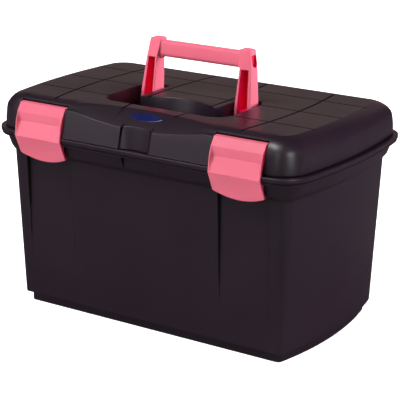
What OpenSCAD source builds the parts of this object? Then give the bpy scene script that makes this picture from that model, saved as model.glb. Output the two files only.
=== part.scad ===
// Grooming box: a deep moulded bin with a hinged, tile-grooved lid, two snap latches,
// a carrying handle that folds forward into the lid, and a lift-out tray.
// Millimetres, +Z up, front towards -Y. The origin is the middle of the foot's underside.

/* [Rim] */
// Length over the rim, at the middle of its bowed ends
rim_l = 400; // [380:1:440]
// Depth over the rim, front to back
rim_d = 247; // [240:1:270]
// Radius of the rim's bowed ends
rim_bow = 620; // [500:10:900]
// Radius of the rim's corners
rim_r = 35; // [32:1:45]
// Height of the parting line between bin and lid
part_z = 205; // [190:1:230]
// Gap between lid and bin at the parting line
seam_gap = 0.3; // [0.2:0.1:0.6]
// Thickness of the moulded walls
wall = 2.6; // [2:0.1:3]

/* [Bin] */
// How far the top of the bin's wall lies inside the rim at the ends
top_in_l = 14.5; // [13:0.5:17]
// How far the top of the bin's wall lies inside the rim at front and back
top_in_d = 17; // [15:0.5:19]
// Bow radius and corner radius at the top of the wall
top_bow = 500; // [450:10:620]
top_r = 14; // [8:1:20]
// How far the bottom of the wall lies inside the rim at the ends
low_in_l = 21; // [19:0.5:26]
// How far the bottom of the wall lies inside the rim at front and back
low_in_d = 24.5; // [22:0.5:28]
// Bow radius and corner radius at the bottom of the wall
low_bow = 400; // [380:10:500]
low_r = 5; // [4.5:0.5:8]
// Height of the stepped-in foot
foot_h = 11; // [8:1:16]
// Step of the foot inside the wall
foot_step = 5.8; // [4:0.2:8]
// Thickness of the floor
floor_t = 3; // [2:0.5:4]
// Height of the collar under the rim
collar_h = 27; // [25:0.5:30]
// How far the collar lies inside the rim at the height of the tray ledge
collar_in = 10.7; // [10:0.1:12]
// Step of the collar over the wall below it
collar_step = 0.8; // [0.4:0.1:1.2]
// Undercut of the collar behind the rim's bead
bead_out = 6.3; // [5:0.1:7]
// Step of the bead's lower lip inside its face
bead_lip = 2.2; // [1.8:0.1:2.6]
// Chamfer of the bead's edges
bead_edge = 0.8; // [0.4:0.1:1.2]
// Depth to which the bead is cut back behind the latches
bead_cut = 2.2; // [1.6:0.1:2.6]
// Height of the bead, and of its upright face
bead_low = 8.5; // [7.5:0.5:10]
bead_face = 5.5; // [4.5:0.5:6]
// Depth of the tray ledge below the parting line
ledge_drop = 21; // [19:0.5:23]
// Depth of the tapering hollow under each latch
hollow_deep = 4.5; // [2:0.5:5]
// Height at which that hollow runs out
hollow_z = 50; // [30:5:90]

/* [Lid] */
// Height of the lid's top above the parting line
lid_h = 37; // [35:1:42]
// Locating lip that drops inside the bin
lip_h = 4; // [3:0.5:6]
// Running clearance of the lip
lip_gap = 0.6; // [0.4:0.1:1]
// Half the width of the notch between the front panels
notch_half = 19.5; // [15:0.5:25]
// Radius of the dip in the lid's front bevel
dip_r = 566; // [480:1:700]
// Slope of the front bevel
dip_slope = 28; // [25:0.5:31]
// Foot of the dip behind the rim's front, and above the parting line
dip_in = 6.5; // [6:0.1:7.5]
dip_rise = 22.3; // [21:0.1:24]
// Width and depth of the grooves between the tiles
groove_w = 1.4; // [1:0.1:2]
groove_deep = 1; // [0.6:0.1:1.4]
// Radius of the bowed grooves
groove_bow = 566; // [480:1:700]
// Places of the bowed grooves either side of the middle
groove_x = [40.6, 126];
// Places of the straight grooves, front to back
groove_y = [-57, -1.6, 52.7];

/* [Handle well] */
// Half the width of the well
well_half = 79; // [76:1:84]
// Front and back ends of the well
well_front = -75; // [-80:1:-73]
well_back = 17; // [16.5:0.5:20]
// Corner radius of the well
well_r = 22; // [14:1:26]
// Depth of the well
well_deep = 28; // [27:0.5:30]
// Half the width of the island in the well
island_half = 49; // [44:0.5:50]
// Front face of the island
island_front = -41; // [-44:1:-38]
// Depth of the finger scoop in the island
scoop_deep = 16; // [8:1:20]

/* [Handle] */
// Pivot behind the middle of the box, and below the lid's top
handle_y = 2.5; // [1:0.5:4]
handle_drop = 14; // [13:0.5:15]
// Height of the legs' tops above the pivot
leg_h = 70.5; // [64:0.5:76]
// Radius of the legs' feet
leg_foot_r = 10.5; // [9:0.5:11]
// Depth of the legs at their tops
leg_top_d = 11.5; // [10:0.5:13]
// Gap between each leg and the island
leg_gap = 0.6; // [0.4:0.1:1]
// Width of a leg at its top and at its foot
leg_top_w = 14.5; // [13:0.5:16]
leg_foot_w = 17.5; // [15:0.5:19]
// Wall of the channel-shaped legs
leg_wall = 2.2; // [1.6:0.1:3]
// Height of the closed cap at the top of each leg
cap_h = 20.5; // [18:0.5:24]
// Rise of the cap above the grip
cap_rise = 2.5; // [1:0.5:4]
// Height and depth of the grip
grip_h = 16; // [12:0.5:18]
grip_d = 10; // [9:0.5:11]
// Corner radius of the grip
grip_r = 4; // [2:0.5:4.5]
// Diameter of the handle's pivot stubs
stub_d = 7; // [5:0.5:9]
// Length of the grip's spigots in the legs
spigot_l = 8; // [5:0.5:10]

/* [Latches] */
// Distance of each latch inside the rim's end
latch_in = 46; // [43:0.5:50]
// Width of a latch
latch_w = 61; // [54:0.5:64]
// Thickness of a latch
latch_t = 3; // [2.5:0.1:3.4]
// Pivot behind the rim's front, and above the parting line
latch_set = 13; // [12.5:0.1:14]
latch_rise = 25.5; // [25:0.1:26.5]
// Radius of the barrel at the pivot
barrel_r = 5.5; // [5:0.1:5.8]
// Bulge of the latch's lower edge
latch_bulge = 7; // [4:0.5:9]
// Side gap between a latch and its pocket
latch_gap = 0.6; // [0.4:0.1:1]
// Diameter and length of the latch's pivot stubs
latch_pin_d = 4; // [3:0.1:5]
latch_pin_l = 4; // [3:0.5:6]
// How far the catch reaches in behind the rim
catch_in = 3; // [2:0.2:3.4]

/* [Hinge] */
// Middle of each hinge inside the rim's end
hinge_in = 95; // [75:1:120]
// Radius of the knuckles
knuckle_r = 5; // [4:0.1:6]
// Width of the lid's knuckle and of each ear of the bin
knuckle_w = 22; // [14:1:30]
ear_w = 12; // [8:1:16]
// Diameter of the hinge pins
pin_d = 3; // [2.5:0.1:4]
// Radial clearance of pins and stubs in their bores
run_gap = 0.05; // [0.02:0.01:0.1]
// Side gap at knuckles, and between the knuckles and the rim
hinge_gap = 0.5; // [0.3:0.1:1]

/* [Tray] */
// Depth of the tray below its ledge
tray_deep = 58; // [40:1:70]
// Gap between the tray's flange and the collar
tray_gap = 0.8; // [0.5:0.1:1.5]
// Inset of the tray's body behind its flange
tray_in = 11.5; // [11:0.5:12.5]
// Taper of the tray's walls towards its floor
tray_taper = 3; // [2:0.5:5]
// Thickness of the tray's walls
tray_wall = 2; // [1.5:0.1:2.2]
// Height of the tray's handle above its flange
carry_h = 9; // [6:0.5:10]
// Width and height of the hand hole under the tray's handle
hand_w = 92; // [70:1:98]
hand_h = 22; // [18:1:26]
// Width of the handle's feet, and height of its bar
carry_foot = 14; // [10:1:18]
carry_bar = 8; // [6:0.5:10]
// Places of the cross walls either side of the middle
cross_x = 72; // [70:1:90]

/* [Badge] */
// Width and height of the lens-shaped inlay on the front bevel
badge_w = 44; // [30:1:60]
badge_h = 13; // [8:0.5:16]
// Distance of the inlay's middle behind the foot of the dip
badge_in = 18; // [14:0.5:20]
// Thickness of the inlay, and its gap in the recess
badge_t = 1.2; // [0.8:0.1:2]
badge_gap = 0.1; // [0.05:0.05:0.3]

/* [Hidden] */
$fn = 64;
BLACK = "#2d2128";
PINK = "#f0607f";
STEEL = "#b8bcc2";
NAVY = "#20265a";
// Facets of each bowed end and of each rounded corner in the moulded shells
BOW_N = 10;
CORNER_N = 8;
// Facets of wide arcs
WIDE_FN = 720;
// Cuts run past a surface by this much
PAST = 5;

front = -rim_d / 2;
back = rim_d / 2;
lid_z = part_z + lid_h;
wall_top_z = part_z - collar_h;
ledge_z = part_z - ledge_drop;
base_z = part_z + seam_gap;
// The lid's dome: rise, then insets from the rim at ends, front and back, then corner radius
dome = [
    [seam_gap, 5.8, 5.8, 5.8, rim_r - 6],
    [lid_h - 27.5, 5.8, 5.8, 5.8, rim_r - 6],
    [lid_h - 14, 7.5, 7.5, 8.5, rim_r - 8],
    [lid_h - 6, 12.5, 12, 16.5, rim_r - 10],
    [lid_h - 1.5, 18.5, 17.5, 26.5, rim_r - 14],
    [lid_h, 24, 23.5, 36.5, rim_r - 16]
];
dome_in = dome[0][1];
// Upper cavity of the bin: insets from the rim at the ledge and at the top
collar_in_low = collar_in + wall;
collar_in_top = bead_out + wall;
hollow_top_z = wall_top_z + 1;
// Latch side outline: distance behind the rim's front, height above the parting line
latch_side = [
    [latch_set, latch_rise + barrel_r],
    [8.9, latch_rise + barrel_r],
    [3.1, 21.8],
    [0, 12.9],
    [-2.5, -4.2]
];
latch_tab = [6.9, -24.9];
latch_x = rim_l / 2 - latch_in - latch_w / 2;
latch_y = front + latch_set;
latch_z = part_z + latch_rise;
pocket_half = latch_w / 2 + latch_gap;
pocket_r = norm([latch_side[1][0] - latch_set, barrel_r]) + latch_gap;
hinge_x = rim_l / 2 - hinge_in;
hinge_y = back + hinge_gap + knuckle_r;
hinge_half = knuckle_w / 2 + hinge_gap + ear_w;
handle_z = lid_z - handle_drop;
leg_in_x = island_half + leg_gap;
leg_top_z = handle_z + leg_h;
leg_back_y = handle_y + leg_foot_r;
grip_top_z = leg_top_z - cap_rise;
grip_mid_y = leg_back_y - leg_top_d / 2;
grip_mid_z = grip_top_z - grip_h / 2;
spigot_d = grip_d - 2 * leg_wall;
spigot_h = grip_h - 2 * leg_wall;
tray_edge_in = collar_in_low + tray_gap;
tray_body_in = tray_edge_in + tray_in;
tray_low_in = tray_body_in + tray_taper;
tray_rest_z = ledge_z + seam_gap;
tray_top_z = tray_rest_z + tray_wall;
tray_low_z = ledge_z - tray_deep;
carry_z = tray_top_z + carry_h;
carry_half = hand_w / 2 + carry_foot;
hand_z = carry_z - carry_bar - hand_h;
// Middle of the front bevel, where its dip is lowest
dip_y = front + dip_in;
dip_z = part_z + dip_rise;
badge_y = dip_y + badge_in;
badge_z = dip_z + badge_in * tan(dip_slope);

// Right half of a plan outline with straight front and back, bowed ends and rounded corners
function half_outline(l, d, bow, r) =
    let(
        mid_x = l / 2 - bow,
        yc = d / 2 - r,
        xc = mid_x + sqrt(pow(bow - r, 2) - yc * yc),
        turn = atan2(yc, xc - mid_x)
    )
    concat(
        [for (i = [0:CORNER_N])
            let(a = -90 + (90 - turn) * i / CORNER_N)
            [xc + r * cos(a), r * sin(a) - yc]],
        [for (i = [1:BOW_N - 1])
            let(a = turn * (2 * i / BOW_N - 1))
            [mid_x + bow * cos(a), bow * sin(a)]],
        [for (i = [0:CORNER_N])
            let(a = turn + (90 - turn) * i / CORNER_N)
            [xc + r * cos(a), r * sin(a) + yc]]
    );

function outline(l, d, bow, r) =
    let(half = half_outline(l, d, bow, r))
    concat(half, -half);

// The rim's outline, drawn in by an inset
function rim(inset) = outline(rim_l - 2 * inset, rim_d - 2 * inset, rim_bow - inset, rim_r - inset);

// An outline lifted to a height
function ring(z, points) = [for (p = points) [p[0], p[1], z]];

// Closed shell through a row of rings, capped by the first and the last
module loft(rings) {
    n = len(rings[0]);
    m = len(rings);
    polyhedron(
        points = [for (r = rings) each r],
        faces = concat(
            [[for (i = [0:n - 1]) i]],
            [for (k = [0:m - 2], i = [0:n - 1])
                [k * n + i, (k + 1) * n + i, (k + 1) * n + (i + 1) % n]],
            [for (k = [0:m - 2], i = [0:n - 1])
                [k * n + i, (k + 1) * n + (i + 1) % n, k * n + (i + 1) % n]],
            [[for (i = [n - 1:-1:0]) (m - 1) * n + i]]
        )
    );
}

// A profile in Y and Z, extruded between two places on X
module along_x(x0, x1) {
    translate([x0, 0, 0]) rotate([90, 0, 90]) linear_extrude(x1 - x0) children();
}

// A profile in X and Z, extruded between two places on Y
module along_y(y0, y1) {
    translate([0, y1, 0]) rotate([90, 0, 0]) linear_extrude(y1 - y0) children();
}

// A round rod along X
module rod(x0, x1, y, z, d) {
    along_x(x0, x1) translate([y, z]) circle(d = d);
}

// Copies on both sides of the middle
module both_sides() {
    children();
    mirror([1, 0, 0]) children();
}

// Bin
function wall_top(inset) =
    outline(rim_l - 2 * (top_in_l + inset), rim_d - 2 * (top_in_d + inset), top_bow - inset, top_r - inset);

function wall_low(inset) =
    outline(rim_l - 2 * (low_in_l + inset), rim_d - 2 * (low_in_d + inset), low_bow - inset, low_r);

module bin_shell() {
    loft([
        ring(0, wall_low(foot_step)),
        ring(foot_h, wall_low(foot_step)),
        ring(foot_h, wall_low(0)),
        ring(wall_top_z, wall_top(0)),
        ring(wall_top_z, wall_top(-collar_step)),
        ring(ledge_z, rim(collar_in)),
        ring(part_z - bead_low, rim(bead_out)),
        ring(part_z - (bead_low + bead_face) / 2, rim(bead_lip)),
        ring(part_z - bead_face, rim(bead_lip)),
        ring(part_z - bead_face + bead_edge, rim(0)),
        ring(part_z - bead_edge, rim(0)),
        ring(part_z, rim(bead_edge)),
        ring(part_z, rim(collar_in_top)),
        ring(ledge_z, rim(collar_in_low)),
        ring(ledge_z, wall_top(wall)),
        ring(wall_top_z, wall_top(wall)),
        ring(foot_h + wall, wall_low(wall)),
        ring(foot_h + wall, wall_low(foot_step + wall)),
        ring(floor_t, wall_low(foot_step + wall))
    ]);
}

// Side outline of the tapering hollow under a latch, deepest at its top. Its front
// lies in_front ahead of the wall's face, and its back is moved in by behind.
module hollow_side(in_front, behind) {
    wall_lean = (low_in_d - top_in_d) / (wall_top_z - foot_h);
    face_top = front + top_in_d - wall_lean;
    face_low = front + top_in_d + (wall_top_z - hollow_z) * wall_lean;
    polygon([[face_top - in_front, hollow_top_z], [face_top + hollow_deep + behind, hollow_top_z],
        [face_low + behind, hollow_z], [face_low - in_front, hollow_z]]);
}

module hinge_bore() {
    rod(hinge_x - hinge_half - 1, hinge_x + hinge_half + 1, hinge_y, part_z, pin_d + 2 * run_gap);
}

module hinge_ears() {
    for (side = [-1, 1])
        translate([side * (hinge_half - ear_w / 2), 0, 0])
            along_x(hinge_x - ear_w / 2, hinge_x + ear_w / 2) {
                translate([hinge_y, part_z]) circle(knuckle_r);
                polygon([[back - bead_out, part_z - 2 * bead_low], [hinge_y, part_z - knuckle_r],
                    [hinge_y, part_z - 0.5], [back - bead_out, part_z - 0.5]]);
            }
}

module bin() {
    color(BLACK)
    difference() {
        union() {
            bin_shell();
            // Backs of the hollows under the latches
            both_sides()
                along_x(latch_x - latch_w / 2 - wall, latch_x + latch_w / 2 + wall)
                    hollow_side(-wall / 2, wall);
            both_sides() hinge_ears();
        }
        both_sides() along_x(latch_x - latch_w / 2, latch_x + latch_w / 2) hollow_side(PAST, 0);
        // The rim's bead is cut back behind each latch
        both_sides()
            along_x(latch_x - pocket_half, latch_x + pocket_half)
                translate([front - PAST, part_z - bead_low]) square([PAST + bead_cut, bead_low + PAST]);
        both_sides() hinge_bore();
    }
}

// Lid
function dome_ring(p, inset) =
    [for (q = outline(rim_l - 2 * (p[1] + inset), rim_d - p[2] - p[3] - 2 * inset,
            rim_bow - p[1] - inset, p[4] - inset))
        [q[0], q[1] + (p[2] - p[3]) / 2, part_z + p[0] - inset]];

module lid_shell() {
    collar_lean = (collar_in_low - collar_in_top) / ledge_drop;
    lip_in = collar_in_top + lip_h * collar_lean + lip_gap;
    loft(concat(
        [for (i = [5:-1:1]) dome_ring(dome[i], wall)],
        [
            ring(base_z + 2 * wall, rim(dome_in + wall)),
            ring(base_z + 2 * wall, rim(lip_in + wall)),
            ring(part_z - lip_h, rim(lip_in + wall)),
            ring(part_z - lip_h, rim(lip_in)),
            ring(base_z, rim(lip_in))
        ],
        [for (i = [0:5]) dome_ring(dome[i], 0)]
    ));
}

// Side outline of the lid's front, a depth inside its wall
function under(depth) = [for (i = [1:5]) [front + dome[i][2] + depth, part_z + dome[i][0] - depth]];

// Front panels either side of the notch
module front_panels() {
    inner = under(wall / 4);
    both_sides()
        along_x(notch_half, latch_x - latch_w / 2)
            polygon([[front + 1, base_z], [front + 8.3, part_z + 29.5], inner[2], inner[1], inner[0],
                [inner[0][0], base_z]]);
}

// Solid seats behind the latches, and the backing of the dipped bevel
module front_seats() {
    inner = under(wall * 0.6);
    seat_y = latch_y + pocket_r + wall;
    seat_half = pocket_half + latch_pin_l + wall;
    dip_low_z = dip_z - badge_t - 1.5 * wall;
    both_sides()
        along_x(latch_x - seat_half, latch_x + seat_half)
            polygon([inner[1], inner[2], inner[3], inner[4], [seat_y, inner[4][1]], [seat_y, part_z + 12],
                [inner[0][0], part_z + 12]]);
    along_x(seat_half + 1 - latch_x, latch_x - seat_half - 1)
        polygon([[dip_y + 2, dip_low_z], inner[1], inner[2], inner[3], inner[4],
            [dip_y + (inner[4][1] - dip_low_z) / tan(dip_slope), inner[4][1]]]);
}

// Dip of the front bevel: a wide round cut along the slope
module bevel_dip() {
    translate([0, dip_y, dip_z])
        rotate([90 + dip_slope, 0, 0])
            translate([0, dip_r, -40])
                cylinder(r = dip_r, h = 80, $fn = WIDE_FN);
}

module well_plan(grow) {
    offset(r = well_r + grow)
        translate([-well_half + well_r, well_front + well_r])
            square([2 * (well_half - well_r), well_back - well_front - 2 * well_r]);
}

module well_cut() {
    scoop_r = (pow(island_half, 2) + pow(scoop_deep, 2)) / (2 * scoop_deep);
    difference() {
        translate([0, 0, lid_z - well_deep]) linear_extrude(well_deep + PAST) well_plan(0);
        translate([-island_half, island_front, lid_z - well_deep - PAST])
            cube([2 * island_half, well_back - island_front + PAST, well_deep + 3 * PAST]);
    }
    // Finger scoop in the island's front, widest at the top
    intersection() {
        translate([0, island_front + scoop_deep - scoop_r, lid_z - well_deep])
            cylinder(r1 = scoop_r - scoop_deep / 2, r2 = scoop_r, h = well_deep + 0.01, $fn = WIDE_FN);
        translate([-island_half, well_front / 2 + island_front / 2, lid_z - well_deep])
            cube([2 * island_half, 2 * scoop_deep + well_half, well_deep + PAST]);
    }
}

// Floor and walls of the well, hollow under the island
module well_walls() {
    top_z = lid_z - wall / 2;
    low_z = lid_z - well_deep - wall;
    hollow_y = island_front + scoop_deep + wall;
    difference() {
        translate([0, 0, low_z]) linear_extrude(top_z - low_z) well_plan(wall);
        translate([wall - island_half, hollow_y, low_z - 1])
            cube([2 * (island_half - wall), well_back - hollow_y, lid_z - wall - low_z + 1]);
    }
}

module lid_grooves() {
    low_z = lid_z - groove_deep;
    for (y = groove_y)
        translate([-rim_l / 2 + dome[5][1], y - groove_w / 2, low_z])
            cube([rim_l - 2 * dome[5][1], groove_w, PAST]);
    both_sides()
        for (x = groove_x)
            intersection() {
                translate([x - groove_bow, 0, low_z])
                    difference() {
                        cylinder(r = groove_bow + groove_w / 2, h = PAST, $fn = WIDE_FN);
                        translate([0, 0, -1])
                            cylinder(r = groove_bow - groove_w / 2, h = PAST + 2, $fn = WIDE_FN);
                    }
                translate([0, front + dome[5][2], low_z])
                    cube([rim_l / 2, rim_d - dome[5][2] - dome[5][3], PAST]);
            }
}

// Pocket for a latch's barrel and plate, with the bores of its stubs
module latch_pocket() {
    pin_half = pocket_half + latch_pin_l;
    out_y = front - 2 * PAST;
    rod(latch_x - pocket_half, latch_x + pocket_half, latch_y, latch_z, 2 * pocket_r);
    along_x(latch_x - pocket_half, latch_x + pocket_half)
        polygon([[out_y, lid_z], [latch_y + 3, lid_z], [latch_y + 3, latch_z], [latch_y, latch_z],
            [front + 6.6, part_z + 12.9], [front + bead_cut, part_z - PAST], [out_y, part_z - PAST]]);
    rod(latch_x - pin_half, latch_x + pin_half, latch_y, latch_z, latch_pin_d + 2 * run_gap);
}

module lid_knuckle() {
    along_x(hinge_x - knuckle_w / 2, hinge_x + knuckle_w / 2) {
        translate([hinge_y, part_z]) circle(knuckle_r);
        polygon([[back - dome_in - 1, base_z + 0.5], [hinge_y, base_z + 0.5], [hinge_y, part_z + knuckle_r],
            [back - dome_in - 1, part_z + 2 * knuckle_r]]);
    }
}

module badge_lens(grow) {
    lens_r = (pow(badge_w / 2, 2) + pow(badge_h / 2, 2)) / badge_h;
    intersection() {
        translate([0, lens_r - badge_h / 2]) circle(lens_r + grow, $fn = WIDE_FN);
        translate([0, badge_h / 2 - lens_r]) circle(lens_r + grow, $fn = WIDE_FN);
    }
}

// Places a flat piece on the front bevel, with its face level with the bevel
module on_bevel() {
    translate([0, badge_y, badge_z]) rotate([dip_slope, 0, 0]) children();
}

module lid() {
    color(BLACK)
    difference() {
        union() {
            lid_shell();
            front_panels();
            front_seats();
            well_walls();
            both_sides() lid_knuckle();
        }
        bevel_dip();
        well_cut();
        lid_grooves();
        both_sides() latch_pocket();
        both_sides() hinge_bore();
        both_sides() rod(leg_in_x - leg_gap - wall - 1, well_half + wall + 1, handle_y, handle_z,
            stub_d + 2 * run_gap);
        on_bevel()
            translate([0, 0, -badge_t])
                linear_extrude(badge_t + PAST) badge_lens(badge_gap);
    }
}

// Hinge pins
module hinge_pin(side) {
    color(STEEL)
    rod(side * hinge_x - hinge_half, side * hinge_x + hinge_half, hinge_y, part_z, pin_d);
}

// Latches
module latch_profile() {
    outer = [for (p = latch_side) [front + p[0], part_z + p[1]]];
    tab_dir = (latch_tab - latch_side[4]) / (latch_side[4][1] - latch_tab[1]);
    tab_end = [front, part_z] + latch_tab + tab_dir * latch_bulge;
    catch_z = part_z - bead_low - latch_gap;
    polygon(concat(outer, [tab_end, tab_end + [latch_t, 0], outer[4] + [latch_t, 0],
        outer[3] + [latch_t, 0], [latch_y - barrel_r * cos(60), latch_z - barrel_r * sin(60)],
        [latch_y, latch_z]]));
    translate([latch_y, latch_z]) circle(barrel_r);
    // Catch under the bead
    polygon([[front, catch_z], [front + bead_cut + catch_in, catch_z], [front + 3, catch_z - 5],
        [front, catch_z - 5]]);
}

module latch(side) {
    half = latch_w / 2;
    arc_r = (pow(half, 2) + pow(latch_bulge, 2)) / (2 * latch_bulge);
    edge_z = part_z + latch_tab[1];
    color(PINK)
    translate([side * latch_x, 0, 0]) {
        difference() {
            along_x(-half, half) latch_profile();
            // Bulging lower edge
            along_y(front - PAST, front + 4 * PAST)
                difference() {
                    translate([-half - 1, edge_z - 2 * PAST - latch_bulge])
                        square([latch_w + 2, 2 * PAST + latch_bulge]);
                    translate([0, edge_z - latch_bulge + arc_r]) circle(arc_r, $fn = WIDE_FN);
                }
        }
        rod(-half - latch_pin_l, half + latch_pin_l, latch_y, latch_z, latch_pin_d);
    }
}

// Handle
module leg_side() {
    polygon([[leg_back_y, handle_z], [leg_back_y, leg_top_z], [leg_back_y - leg_top_d, leg_top_z],
        [leg_back_y - leg_top_d, leg_top_z - cap_h], [handle_y - leg_foot_r, handle_z + 4],
        [handle_y - leg_foot_r, handle_z]]);
    translate([handle_y, handle_z]) circle(leg_foot_r);
}

module leg_front(inset) {
    polygon([[leg_in_x + inset, handle_z - 2 * leg_foot_r], [leg_in_x + inset, leg_top_z],
        [leg_in_x + leg_top_w - inset, leg_top_z], [leg_in_x + leg_foot_w - inset, handle_z],
        [leg_in_x + leg_foot_w - inset, handle_z - 2 * leg_foot_r]]);
}

module leg() {
    cap_r = 20;
    mid_x = leg_in_x + leg_top_w / 2;
    difference() {
        union() {
            intersection() {
                along_x(leg_in_x, leg_in_x + leg_foot_w) leg_side();
                along_y(handle_y - leg_h, handle_y + leg_h)
                    intersection() {
                        leg_front(0);
                        union() {
                            translate([mid_x, leg_top_z - cap_r]) circle(cap_r, $fn = 96);
                            translate([mid_x - cap_r, handle_z - leg_h])
                                square([2 * cap_r, 2 * leg_h - cap_r]);
                        }
                    }
            }
            rod(leg_in_x - leg_gap - wall, well_half + wall, handle_y, handle_z, stub_d);
        }
        // Channel open to the front
        intersection() {
            along_y(handle_y - leg_h, leg_back_y - leg_wall) leg_front(leg_wall);
            translate([0, handle_y - leg_h, handle_z + stub_d / 2 + leg_wall])
                cube([well_half, 2 * leg_h, leg_h - stub_d / 2 - leg_wall - cap_h]);
        }
        // Slot with a round foot in the outer face
        along_x(leg_in_x + spigot_l + leg_wall, leg_in_x + leg_foot_w + PAST) {
            translate([grip_mid_y, leg_top_z - cap_h + 1]) circle(d = grip_d - leg_wall);
            translate([grip_mid_y - grip_d / 2 + leg_wall / 2, leg_top_z - cap_h + 1])
                square([grip_d - leg_wall, cap_h - 3 * leg_wall]);
        }
        // Socket of the grip's spigot
        along_x(leg_in_x - 1, leg_in_x + spigot_l)
            translate([grip_mid_y, grip_mid_z])
                square([spigot_d + 2 * run_gap, spigot_h + 2 * run_gap], center = true);
    }
}

module handle_leg(side) {
    color(PINK)
    if (side > 0) leg();
    else mirror([1, 0, 0]) leg();
}

module handle_grip() {
    end_x = leg_in_x - run_gap;
    color(PINK) {
        along_x(-end_x, end_x)
            translate([grip_mid_y, grip_mid_z]) {
                square([grip_d - 2 * grip_r, grip_h], center = true);
                square([grip_d, grip_h - 2 * grip_r], center = true);
                for (sy = [-1, 1], sz = [-1, 1])
                    translate([sy * (grip_d / 2 - grip_r), sz * (grip_h / 2 - grip_r)]) circle(grip_r);
            }
        along_x(-leg_in_x - spigot_l + run_gap, leg_in_x + spigot_l - run_gap)
            translate([grip_mid_y, grip_mid_z]) square([spigot_d, spigot_h], center = true);
    }
}

// Badge
module badge_plate() {
    color(NAVY)
    on_bevel()
        translate([0, 0, badge_gap - badge_t])
            linear_extrude(badge_t) badge_lens(0);
}

// Tray
module tray() {
    color(BLACK)
    loft([
        ring(tray_low_z, rim(tray_low_in)),
        ring(tray_rest_z, rim(tray_body_in)),
        ring(tray_rest_z, rim(tray_edge_in)),
        ring(tray_top_z, rim(tray_edge_in)),
        ring(tray_top_z, rim(tray_body_in + tray_wall)),
        ring(tray_low_z + tray_wall, rim(tray_low_in + tray_wall))
    ]);
}

// Inset of the tray's inside from the rim, at a height
function tray_inside(z) =
    let(floor_z = tray_low_z + tray_wall)
    tray_low_in + tray_wall - (tray_low_in - tray_body_in) * (z - floor_z) / (tray_top_z - floor_z);

// Divider insert: a wall along the middle, lowered under the handle, and two cross walls
module tray_divider() {
    low_z = tray_low_z + tray_wall + run_gap;
    top_z = tray_top_z - 3 * tray_wall;
    low_x = rim_l / 2 - tray_inside(low_z) - seam_gap;
    top_x = rim_l / 2 - tray_inside(top_z) - seam_gap;
    low_y = rim_d / 2 - tray_inside(low_z) - seam_gap;
    top_y = rim_d / 2 - tray_inside(top_z) - seam_gap;
    color(BLACK) {
        along_y(-tray_wall, tray_wall)
            polygon([[-low_x, low_z], [low_x, low_z], [top_x, top_z], [carry_half, top_z],
                [carry_half, hand_z], [-carry_half, hand_z], [-carry_half, top_z], [-top_x, top_z]]);
        for (x = [-cross_x, cross_x])
            along_x(x - tray_wall / 2, x + tray_wall / 2)
                polygon([[-low_y, low_z], [low_y, low_z], [top_y, top_z], [-top_y, top_z]]);
    }
}

// Clip-in handle on the divider: a bar on two feet
module tray_handle() {
    out_half = carry_half - run_gap;
    corner = carry_bar / 2;
    color(PINK)
    along_y(-tray_wall, tray_wall)
        difference() {
            union() {
                translate([-out_half, hand_z + run_gap])
                    square([2 * out_half, carry_z - corner - hand_z - run_gap]);
                translate([corner - out_half, carry_z - 2 * corner])
                    square([2 * (out_half - corner), 2 * corner]);
                for (side = [-1, 1])
                    translate([side * (out_half - corner), carry_z - corner]) circle(corner);
            }
            translate([-hand_w / 2, hand_z - PAST]) square([hand_w, hand_h + PAST]);
        }
}

bin();
lid();
hinge_pin(-1);  // hinge_pin_left
hinge_pin(1);  // hinge_pin_right
latch(-1);  // latch_left
latch(1);  // latch_right
handle_leg(-1);  // handle_leg_left
handle_leg(1);  // handle_leg_right
handle_grip();
badge_plate();
tray();
tray_divider();
tray_handle();
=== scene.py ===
import math

import bmesh
import bpy
from mathutils import Matrix, Vector
from mathutils.geometry import tessellate_polygon


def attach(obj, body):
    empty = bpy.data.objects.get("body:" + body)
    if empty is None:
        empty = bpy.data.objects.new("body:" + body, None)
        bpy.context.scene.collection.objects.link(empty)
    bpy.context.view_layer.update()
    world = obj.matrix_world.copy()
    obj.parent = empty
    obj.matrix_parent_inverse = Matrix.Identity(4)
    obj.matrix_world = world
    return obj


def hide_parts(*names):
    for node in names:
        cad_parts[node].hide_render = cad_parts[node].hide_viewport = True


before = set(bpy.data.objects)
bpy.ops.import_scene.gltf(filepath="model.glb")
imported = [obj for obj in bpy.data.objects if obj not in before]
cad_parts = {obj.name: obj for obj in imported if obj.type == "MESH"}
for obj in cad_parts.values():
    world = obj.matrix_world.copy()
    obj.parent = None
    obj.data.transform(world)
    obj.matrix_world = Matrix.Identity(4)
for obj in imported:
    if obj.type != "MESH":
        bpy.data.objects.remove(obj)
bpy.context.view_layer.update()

# All lengths are in millimetres, as in the part's source, and become metres in the meshes.
MM = 0.001
# Points nearer than WELD, in metres, and faces within FLAT of one plane are merged
WELD, FLAT = 1e-6, math.radians(0.05)
QUARTER = math.pi / 2
# Plan of the rim, and of the wall's outside at its top and at its foot:
# length, depth, radius of the bowed ends, corner radius
RIM_L, RIM_D, RIM_BOW, RIM_R = 400, 247, 620, 35
TOP_L, TOP_D, TOP_BOW, TOP_R = 371, 213, 500, 14
LOW_L, LOW_D, LOW_BOW, LOW_R = 358, 198, 400, 5
FRONT = -RIM_D / 2
# Levels of the bin's rim, the lid's lower edge and the lid's top
PART_Z, BASE_Z, LID_Z = 205.0, 205.3, 242.0
WALL = 2.6
# Latches: middle and half width of one, then its barrel's middle and radius
LATCH_X, LATCH_HALF = 123.5, 30.5
LATCH_Y, LATCH_Z, BARREL_R = -110.5, 230.5, 6.0
# Part of the front that lies behind a latch
POCKET_IN, POCKET_OUT = 92.4, 154.6
# Dipped bevel of the lid: a point on it, the dip's radius, the slope and the softness of its upper edge
DIP_Y, DIP_Z, DIP_R, DIP_SLOPE, DIP_SOFT = -117.0, 227.3, 566.0, math.radians(28), 0.7


# Mesh helpers

def lerp(a, b, t):
    return a + (b - a) * t


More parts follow.
